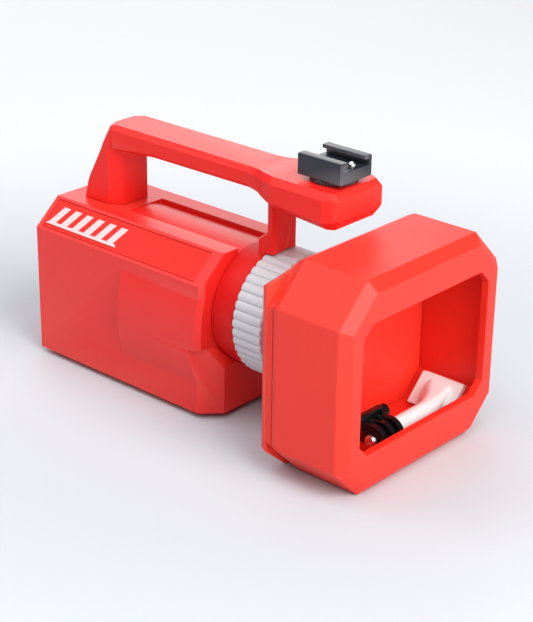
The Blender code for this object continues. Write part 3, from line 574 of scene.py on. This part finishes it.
def build_neck():
    neck = as_object("hood_neck_print", turned([
        (50.3, 23.3), (50.3, 30.0), (72.5, 30.0), (73.1, 29.4), (73.1, 23.3), (50.3, 23.3),
    ], (0, 0, AXIS_Z), REARWARD, 160))
    carve(neck, ("DIFFERENCE", turned([(0, 1.8), (12, 1.8)], (0, 61.0, 18.0), UP, 32)))
    soften(neck, 0.35, 30)
    fit_in(neck, red_barrel_painted_shade, "rig", "hood_neck")


# ---------------------------------------------------------------- hood
HOOD_REAR = 43.2                   # the shell ends here, where its rear wall starts
LESS_CUT = 2.0 - math.sqrt(2.0)    # a 45 degree corner loses this much per unit that its outline moves in


def octagon(half, low, high, cut_low, cut_high, depth):
    return [
        (-half, depth, low + cut_low), (-half + cut_low, depth, low), (half - cut_low, depth, low),
        (half, depth, low + cut_low), (half, depth, high - cut_high), (half - cut_high, depth, high),
        (-half + cut_high, depth, high), (-half, depth, high - cut_high),
    ]


def hood_outer(inset, depth):
    less = inset * LESS_CUT
    return octagon(HOOD_HALF - inset, inset - STANDOFF, 102.0 - inset, 17.0 - less, 18.5 - less, depth)


def hood_inner(gap, depth):
    less = gap * LESS_CUT
    return octagon(51.5 - gap, 4.2 + gap, 95.0 - gap, 12.5 - less, 14.4 - less, depth)


def hood_window(depth):
    return octagon(46.8, 18.8, 82.9, 5.8, 6.4, depth)


def rear_flange(depth):
    """Outline of the rear wall's flange, a little lower at the top than the shell."""
    return [(x, y, min(z, 97.4)) for x, y, z in hood_outer(1.5, depth)]


FRAME_SCREWS = [(x, z) for x in (-53.2, 53.2) for z in (32.0, 70.0)]


def frame_holes():
    step = [(0, 1.5), (6.4, 1.5), (6.4, 2.5), (12, 2.5)]
    return [("DIFFERENCE", turned(step, (x, 41.3, z), REARWARD, 40)) for x, z in FRAME_SCREWS]


def build_shell():
    wall = 4.0
    shell = as_object("hood_shell_print", loft([
        hood_outer(1.5, HOOD_REAR), hood_outer(0.0, 39.8), hood_outer(0.0, 4.7), hood_outer(5.1, 0.0),
        hood_window(0.0), hood_window(wall), hood_inner(0.0, wall), hood_inner(0.0, HOOD_REAR),
    ], True))
    soften(shell, 0.3, 15)
    fit_in(shell, red_hood_painted_light, "rig", "hood_shell")


def build_back():
    """The hood's rear wall: a flange that plugs the shell and a plate behind it."""
    wall_front = HOOD_REAR + GAP
    back = as_object("hood_back_frame_print", loft([
        hood_inner(GAP, 40.6), hood_inner(GAP, wall_front), rear_flange(wall_front), rear_flange(46.8),
    ]))
    plate = []
    for depth, inset in ((46.6, 0.0), (47.0, 0.0), (50.0, 1.2)):
        half, low, high = 57.2 - inset, inset - 2.6, 96.6 - inset
        foot, brow = 10.2 + inset * 0.4, 92.6 - inset
        outline = (
            (-half, foot), (-42.2, low), (42.2, low), (half, foot),
            (half, brow), (30.0, high), (-30.0, high), (-half, brow),
        )
        plate.append([(x, depth, z) for x, z in outline])
    rear_plate = as_object("rear_plate", loft(plate))
    carve(back, *frame_holes())
    carve(rear_plate, *frame_holes())
    both = bmesh.new()
    both.from_mesh(back.data)
    both.from_mesh(rear_plate.data)
    both.to_mesh(back.data)
    both.free()
    bpy.data.objects.remove(rear_plate)
    soften(back, 0.35, 15)
    fit_in(back, red_hood_painted_light, "rig", "hood_back_frame")


def build_frame_screws():
    profile = [(0, 1.9), (0.25, 2.15), (0.5, 2.2), (1.9, 2.2), (1.9, 1.2), (17.2, 1.2), (17.6, 0.9)]
    for number, (x, z) in enumerate(FRAME_SCREWS, 1):
        screw = socket_screw("frame_screw_%d_fine" % number, profile, (x, 49.9, z), FORWARD, 1.1, 1.3)
        soften(screw, 0.08, 30, 2)
        fit_in(screw, steel, "rig", "frame_screw_%d" % number)


# ---------------------------------------------------------------- handle
def bar_section(depth, half, high, bevel, low, bevel_low):
    return [
        (-half + bevel, depth, high), (-half, depth, high - bevel), (-half, depth, low + bevel_low),
        (-half + bevel_low, depth, low), (half - bevel_low, depth, low), (half, depth, low + bevel_low),
        (half, depth, high - bevel), (half - bevel, depth, high),
    ]


def handle_bar():
    """The bar and the wide pad at its front, as one run of sections."""
    half, top = HANDLE_HALF, HANDLE_TOP
    rows = [(191.9, half, 121.4, 0.2, 110.8, 1.2)]
    rows += through([
        (190.0, half, top, 2.4, 110.8, 1.2), (178.0, half, top, 2.4, 111.6, 1.6),
        (164.0, half, top, 2.4, 112.8, 2.0),
    ], 4)
    rows += through([
        (100.0, half, top, 2.4, 113.2, 2.0), (93.0, 14.2, 123.9, 2.6, 112.6, 2.0),
        (86.0, 17.6, 124.5, 2.8, 111.2, 2.4), (79.0, 19.8, 124.9, 3.0, 109.6, 3.2),
    ], 4)
    rows += [
        (48.0, 20.0, 124.9, 3.0, 107.0, 4.2), (44.6, 17.9, 124.8, 2.8, 107.0, 4.2),
        (41.6, 16.0, 122.2, 0.6, 111.8, 0.8),
    ]
    return loft([bar_section(*row) for row in rows])


def rear_post():
    """A level holds its height, the rear face, its half width and corner, where the sides start, their
    half width and the front face."""
    half, top, narrow = HANDLE_HALF, HANDLE_TOP, POST_HALF
    levels = through([
        (81.3, 212.1, 14.0, 1.4, 195.2, 13.2, 188.2), (90.8, 210.2, 13.4, 1.4, 195.0, 13.0, 188.2),
        (100.0, 206.0, 12.95, 1.6, 194.8, 12.8, 188.2), (109.0, 201.6, half, 1.8, 194.6, half, 188.2),
    ], 4)
    levels += [
        (112.5, 200.4, half, 2.2, 194.0, half, 188.2), (116.0, 199.0, half, 2.8, 193.4, half, 188.2),
        (121.3, 197.2, half, 4.4, 191.8, half, 188.2), (top, 194.8, 10.3, 4.0, 190.0, 10.3, 188.6),
    ]
    return loft([[
        (edge - rear_half, rear, z), (-rear_half, rear - edge, z), (-side_half, side, z), (-narrow, front, z),
        (narrow, front, z), (side_half, side, z), (rear_half, rear - edge, z), (rear_half - edge, rear, z),
    ] for z, rear, rear_half, edge, side, side_half, front in levels])


def front_post():
    bevel, front, rear, waist = 1.7, 85.5, 97.0, 91.3
    outline = [
        (front, 77.0), (rear, 77.0), (rear, 87.3), (waist, 92.0), (waist, 112.0), (93.5, 116.0),
        (front, 116.0),
    ]
    slim = [(y + bevel if y == front else y - bevel, z) for y, z in outline]
    wide = POST_HALF - bevel
    shapes = ((-POST_HALF, slim), (-wide, outline), (wide, outline), (POST_HALF, slim))
    return loft([[(x, y, z) for y, z in shape] for x, shape in shapes])


def build_handle():
    handle = as_object("handle_print", handle_bar())
    ring_room = [(0, 32.6), (21.6, 32.6), (21.6, BARREL + GAP), (40, BARREL + GAP)]
    carve(
        handle, ("UNION", rear_post()), ("UNION", front_post()),
        ("DIFFERENCE", turned(ring_room, (0, 70.0, AXIS_Z), REARWARD, 160)),
    )
    soften(handle, 0.4, 13)
    fit_in(handle, red_handle, "rig", "handle")


# ---------------------------------------------------------------- accessory shoe
def build_shoe_body():
    half, length, base, floor, lip, top = 11.1, 25.7, 127.3, 133.0, 135.6, SHOE_TOP
    slot, mouth, bevel = 9.3, 6.4, 0.5
    right = [
        (half, base), (half, top - bevel), (half - bevel, top), (mouth, top), (mouth, lip), (slot, lip),
        (slot, floor),
    ]
    left = [(-x, z) for x, z in reversed(right)]
    outline = [left[-1]] + right + left[:-1]
    shoe = as_object("shoe_body_metal", prism_y(outline, SHOE_Y - length / 2, SHOE_Y + length / 2))
    stud_hole = [(0, 3.4), (4, 3.4), (4, 5.6), (9, 5.6)]
    carve(
        shoe,
        ("DIFFERENCE", turned(stud_hole, (0, SHOE_Y, 126.2), UP, 64)),
        ("DIFFERENCE", turned([(0, 1.4), (6, 1.4)], (0, STOP_Y, 129.5), UP, 32)),
    )
    soften(shoe, 0.3)
    fit_in(shoe, black_metal, "shoe", "shoe_body")


def build_stud():
    profile = [(0, 4.9), (0.4, 5.2), (2.3, 5.2), (2.3, 3.1), (16.8, 3.1), (17.2, 2.4)]
    stud = as_object("shoe_stud_metal", turned(profile, (0, SHOE_Y, 132.8), DOWN, 48))
    carve(stud, ("DIFFERENCE", box(-6.0, 6.0, SHOE_Y - 0.5, SHOE_Y + 0.5, 131.9, 133.5)))
    soften(stud, 0.12, 30, 2)
    fit_in(stud, steel, "rig", "shoe_stud")


def build_disc():
    """Thin disc with a notched rim."""
    notches, samples, notch, bore, rim = 40, 6, 0.25, 3.5, 11.3
    low, high, bevel = 125.2, 127.0, 0.3
    loops = []
    for level, radius, bite in (
        (low, bore, 0.0), (low, rim - 0.4, notch), (low + bevel, rim, notch), (high - bevel, rim, notch),
        (high, rim - 0.4, notch), (high, bore, 0.0),
    ):
        loop = []
        for index in range(notches * samples):
            angle = 2.0 * math.pi * index / (notches * samples)
            reach = radius - bite * max(0.0, math.cos(math.pi * 2 * (index % samples) / samples))
            loop.append((reach * math.cos(angle), SHOE_Y + reach * math.sin(angle), level))
        loops.append(loop)
    disc = as_object("shoe_lock_disc_metal", loft(loops, True))
    soften(disc, 0.0)
    fit_in(disc, black_metal, "lock_disc", "shoe_lock_disc")


def build_stop_screw():
    profile = [
        (0, 0.7), (0, 1.1), (3.2, 1.1), (3.2, 1.5), (3.6, 1.7), (4.2, 1.75), (4.8, 1.6), (5.2, 1.2),
        (5.5, 0.6),
    ]
    pin = as_object("shoe_stop_screw_metal", turned(profile, (0, STOP_Y, 130.1), UP, 40))
    soften(pin, 0.0)
    fit_in(pin, bright, "shoe", "shoe_stop_screw")


# ---------------------------------------------------------------- three-prong mount
def plate_loop(half_y, half_s, lift, rounding, steps, drop=0.0):
    """Rounded rectangle on the hood's sloping lower corner: half sizes along y and up the slope, lift
    off the slope, corner radius, points per corner and how far it is shifted down the slope."""
    centre_x, centre_y, centre_z, diagonal = 45.45, 23.2, 10.85, math.sqrt(0.5)
    loop = []
    for side_y, side_s, start in ((1, 1, 0), (-1, 1, 90), (-1, -1, 180), (1, -1, 270)):
        for step in range(steps):
            angle = math.radians(start + 90.0 * step / (steps - 1))
            y = side_y * (half_y - rounding) + rounding * math.cos(angle)
            s = side_s * (half_s - rounding) + rounding * math.sin(angle) - drop
            loop.append((centre_x + diagonal * (s - lift), centre_y + y, centre_z + diagonal * (s + lift)))
    return loop


def build_pad():
    pad = as_object("adhesive_pad_foam", loft([plate_loop(11.9, 7.6, lift, 1.0, 6) for lift in (0.2, 2.0)]))
    soften(pad, 0.15, segments=2)
    fit_in(pad, foam, "rig", "adhesive_pad")


def build_arm():
    """Plate on the hood's corner that narrows and turns into a round rod."""
    rod, steps, drop = 5.0, 12, 2.1
    loops = [
        plate_loop(12.2, 8.9, 2.3, 0.7, steps, drop), plate_loop(12.2, 8.9, 3.5, 0.7, steps, drop),
        plate_loop(12.05, 8.75, 3.75, 0.65, steps, drop), plate_loop(11.9, 8.6, 3.82, 0.6, steps, drop),
        plate_loop(7.2, 5.6, 3.86, 3.0, steps, 1.6),
    ]
    neck = loops[-1]
    turns = [
        math.radians(90.0 * quarter + 90.0 * (step + 0.5) / steps)
        for quarter in range(4) for step in range(steps)
    ]
    start_x, middle_x = 45.3, 43.0
    for run, blend in ((3.0, 0.12), (6.0, 0.27), (9.5, 0.42), (13.0, 0.57), (17.5, 0.72), (22.0, 0.86),
                       (26.0, 0.95), (30.0, 1.0), (48.9, 1.0), (49.4, 1.0)):
        amount = ease(blend)
        reach = rod - (0.4 if run > 49 else 0.0)
        loops.append([(
            start_x - run + (x - middle_x) * (1.0 - amount),
            (1.0 - amount) * y + amount * (PIVOT_Y + reach * math.cos(turn)),
            (1.0 - amount) * z + amount * (PIVOT_Z + reach * math.sin(turn)),
        ) for (x, y, z), turn in zip(neck, turns)])
    arm = as_object("mount_arm_moulded", loft(loops))
    nut, hole = 3.52, 1.8
    carve(
        arm,
        ("DIFFERENCE", turned([(0, nut), (5, nut)], (-6.0, PIVOT_Y, PIVOT_Z), RIGHTWARD, 6)),
        ("DIFFERENCE", turned([(0, hole), (16, hole)], (-6.0, PIVOT_Y, PIVOT_Z), RIGHTWARD, 32)),
    )
    soften(arm, 0.0)
    fit_in(arm, white_arm, "rig", "mount_arm")


def build_prongs():
    left, right, prong, radius, hole = -19.4, -4.4, 3.0, 7.3, 1.8
    rear, foot, head = 23.4, 9.8, 22.6
    outline = [(rear, foot), (rear, head), (rear - prong, head), (rear - prong, PIVOT_Z + radius)]
    stop = 180.0 + math.degrees(math.asin((PIVOT_Z - foot) / radius))
    for step in range(33):
        angle = math.radians(90.0 + (stop - 90.0) * step / 32.0)
        outline.append((PIVOT_Y + radius * math.cos(angle), PIVOT_Z + radius * math.sin(angle)))
    prongs = as_object("prong_mount_moulded", prism_x(outline, left, right))
    cuts = []
    deep, bevel = 19.3, 0.7
    for start in (left + prong, left + 3 * prong):
        end = start + prong
        slot = [
            (start, 0.0), (end, 0.0), (end, deep - bevel), (end - bevel, deep), (start + bevel, deep),
            (start, deep - bevel),
        ]
        cuts.append(("DIFFERENCE", prism_z(slot, 0.0, 30.0)))
    cuts.append(("DIFFERENCE", turned([(0, hole), (24, hole)], (-24.0, PIVOT_Y, PIVOT_Z), RIGHTWARD, 40)))
    cuts.append(("UNION", turned([(0, 3.2), (5.6, 3.2), (6.2, 2.6)], (-6.4, 21.9, 19.2), RIGHTWARD, 48)))
    carve(prongs, *cuts)
    soften(prongs, 0.4, 25)
    fit_in(prongs, black_plastic, "prongs", "prong_mount")


def build_clamp_screw():
    shank = 1.45
    profile = [
        (0.1, 1.4), (0.0, 1.9), (0.2, 2.4), (0.5, 2.75), (0.9, 3.0), (1.4, 3.2), (2.1, 3.3), (2.3, 3.3),
        (2.3, shank), (26.0, shank), (26.4, 1.0),
    ]
    screw = socket_screw("mount_screw_metal", profile, (-22.0, PIVOT_Y, PIVOT_Z), RIGHTWARD, 1.3, 1.0, 56)
    soften(screw, 0.0)
    fit_in(screw, bright, "clamp_screw", "mount_screw")


# ---------------------------------------------------------------- pieces kept from the CAD
def finish_kept(slot_name, finish, *names):
    for name in names:
        node = NODES[name]
        node.data.materials.clear()
        node.data.materials.append(finish)
        edge = node.modifiers.new("bevel", "BEVEL")
        edge.width = 0.08 * MM
        edge.segments = 2
        edge.limit_method = "ANGLE"
        edge.angle_limit = math.radians(40.0)


# ---------------------------------------------------------------- floor, light and camera, in metres
def build_stage():
    # The floor's colour is painted darker near the object, where the lamps are brightest, and lighter further
    # out, where they fall off: painted shade and painted light.
    fade_from, fade_to = 0.13, 0.46
    near, far = (0.575, 0.615, 0.665, 1.0), (0.775, 0.795, 0.825, 1.0)
    mesh = bmesh.new()
    bmesh.ops.create_grid(mesh, x_segments=1, y_segments=1, size=4.0)
    floor = as_object("floor", mesh)
    floor.location = (0.0, 0.0, -0.0002)
    surface = bpy.data.materials.new("floor_paper")
    surface.use_nodes = True
    tree = surface.node_tree
    shader = tree.nodes["Principled BSDF"]
    spot = tree.nodes.new("ShaderNodeTexCoord").outputs["Object"]
    reach = tree.nodes.new("ShaderNodeVectorMath")
    reach.operation = "LENGTH"
    tree.links.new(spot, reach.inputs[0])
    fade = tree.nodes.new("ShaderNodeMapRange")
    fade.interpolation_type = "SMOOTHSTEP"
    fade.inputs[1].default_value, fade.inputs[2].default_value = fade_from, fade_to
    tree.links.new(reach.outputs["Value"], fade.inputs[0])
    ramp = tree.nodes.new("ShaderNodeValToRGB")
    ramp.color_ramp.elements[0].color = near
    ramp.color_ramp.elements[1].color = far
    tree.links.new(fade.outputs[0], ramp.inputs["Fac"])
    tree.links.new(ramp.outputs["Color"], shader.inputs["Base Color"])
    shader.inputs["Roughness"].default_value = 0.9
    shader.inputs["Specular IOR Level"].default_value = 0.1
    floor.data.materials.append(surface)


def area_light(name, spot, target, size, power, colour):
    data = bpy.data.lights.new(name, "AREA")
    data.size = size
    data.energy = power
    data.color = colour
    item = bpy.data.objects.new(name, data)
    item.location = spot
    item.rotation_mode = "QUATERNION"
    item.rotation_quaternion = (Vector(target) - Vector(spot)).to_track_quat("-Z", "Y")
    scene.collection.objects.link(item)


def build_lights():
    world = bpy.data.worlds.new("studio")
    world.use_nodes = True
    sky = world.node_tree.nodes["Background"]
    sky.inputs["Color"].default_value = (0.90, 0.94, 1.0, 1.0)
    sky.inputs["Strength"].default_value = 0.09
    scene.world = world
    # name, place, target, size in metres, watts and colour
    area_light("key", (-0.28, -1.35, 1.3), (0.0, 0.0, 0.04), 1.1, 28.0, (1.0, 0.98, 0.93))
    area_light("low", (-0.3, -1.9, 0.5), (0.0, 0.0, 0.05), 0.9, 18.0, (1.0, 0.98, 0.94))
    area_light("over", (-1.2, -0.4, 1.6), (0.0, 0.0, 0.04), 1.8, 13.5, (0.98, 0.99, 1.0))
    area_light("top", (0.0, 0.1, 2.0), (0.0, 0.0, 0.03), 2.0, 16.0, (0.98, 0.99, 1.0))
    area_light("side", (-0.75, 1.15, 1.3), (0.0, 0.0, 0.05), 0.9, 7.0, (1.0, 0.98, 0.98))
    area_light("back", (1.2, 1.4, 0.82), (0.0, 0.0, 0.08), 1.4, 15.0, (1.0, 0.98, 0.98))


def build_camera():
    lens, sensor, distance, roll = 99.3762, 36.0, 0.8557, math.radians(0.8249)
    aim = Vector((0.00894, -0.0067, 0.04435))
    back = Vector((-0.6858, -0.6048, 0.4048)).normalized()
    level = (-back).cross(Vector(UP)).normalized()
    upright = level.cross(-back)
    right = level * math.cos(roll) + upright * math.sin(roll)
    up = upright * math.cos(roll) - level * math.sin(roll)
    spot = aim + back * distance
    data = bpy.data.cameras.new("photo_camera")
    data.lens = lens
    data.sensor_width = sensor
    data.sensor_fit = "AUTO"
    data.clip_start, data.clip_end = 0.01, 50.0
    item = bpy.data.objects.new("photo_camera", data)
    item.matrix_world = Matrix((
        (right.x, up.x, back.x, spot.x), (right.y, up.y, back.y, spot.y), (right.z, up.z, back.z, spot.z),
        (0, 0, 0, 1),
    ))
    scene.collection.objects.link(item)
    scene.camera = item


build_body()
build_panel()
build_mark()
build_base()
build_tripod_insert()
build_barrel()
build_ring()
build_neck()
build_shell()
build_back()
build_frame_screws()
build_handle()
build_shoe_body()
build_stud()
build_disc()
build_stop_screw()
build_pad()
build_arm()
build_prongs()
build_clamp_screw()
finish_kept(
    "screw_steel", steel, "barrel_screw_1", "barrel_screw_2", "barrel_screw_3", "barrel_screw_4",
    "neck_screw_1", "neck_screw_2", "neck_screw_3", "neck_set_screw", "handle_screw_1", "handle_screw_2",
    "handle_screw_3", "mount_nut",
)
finish_kept("brass_insert", brass, "handle_insert_1", "handle_insert_2", "handle_insert_3", "shoe_insert")
build_stage()
build_lights()
build_camera()
scene.view_settings.view_transform = "Standard"
scene.view_settings.look = "None"
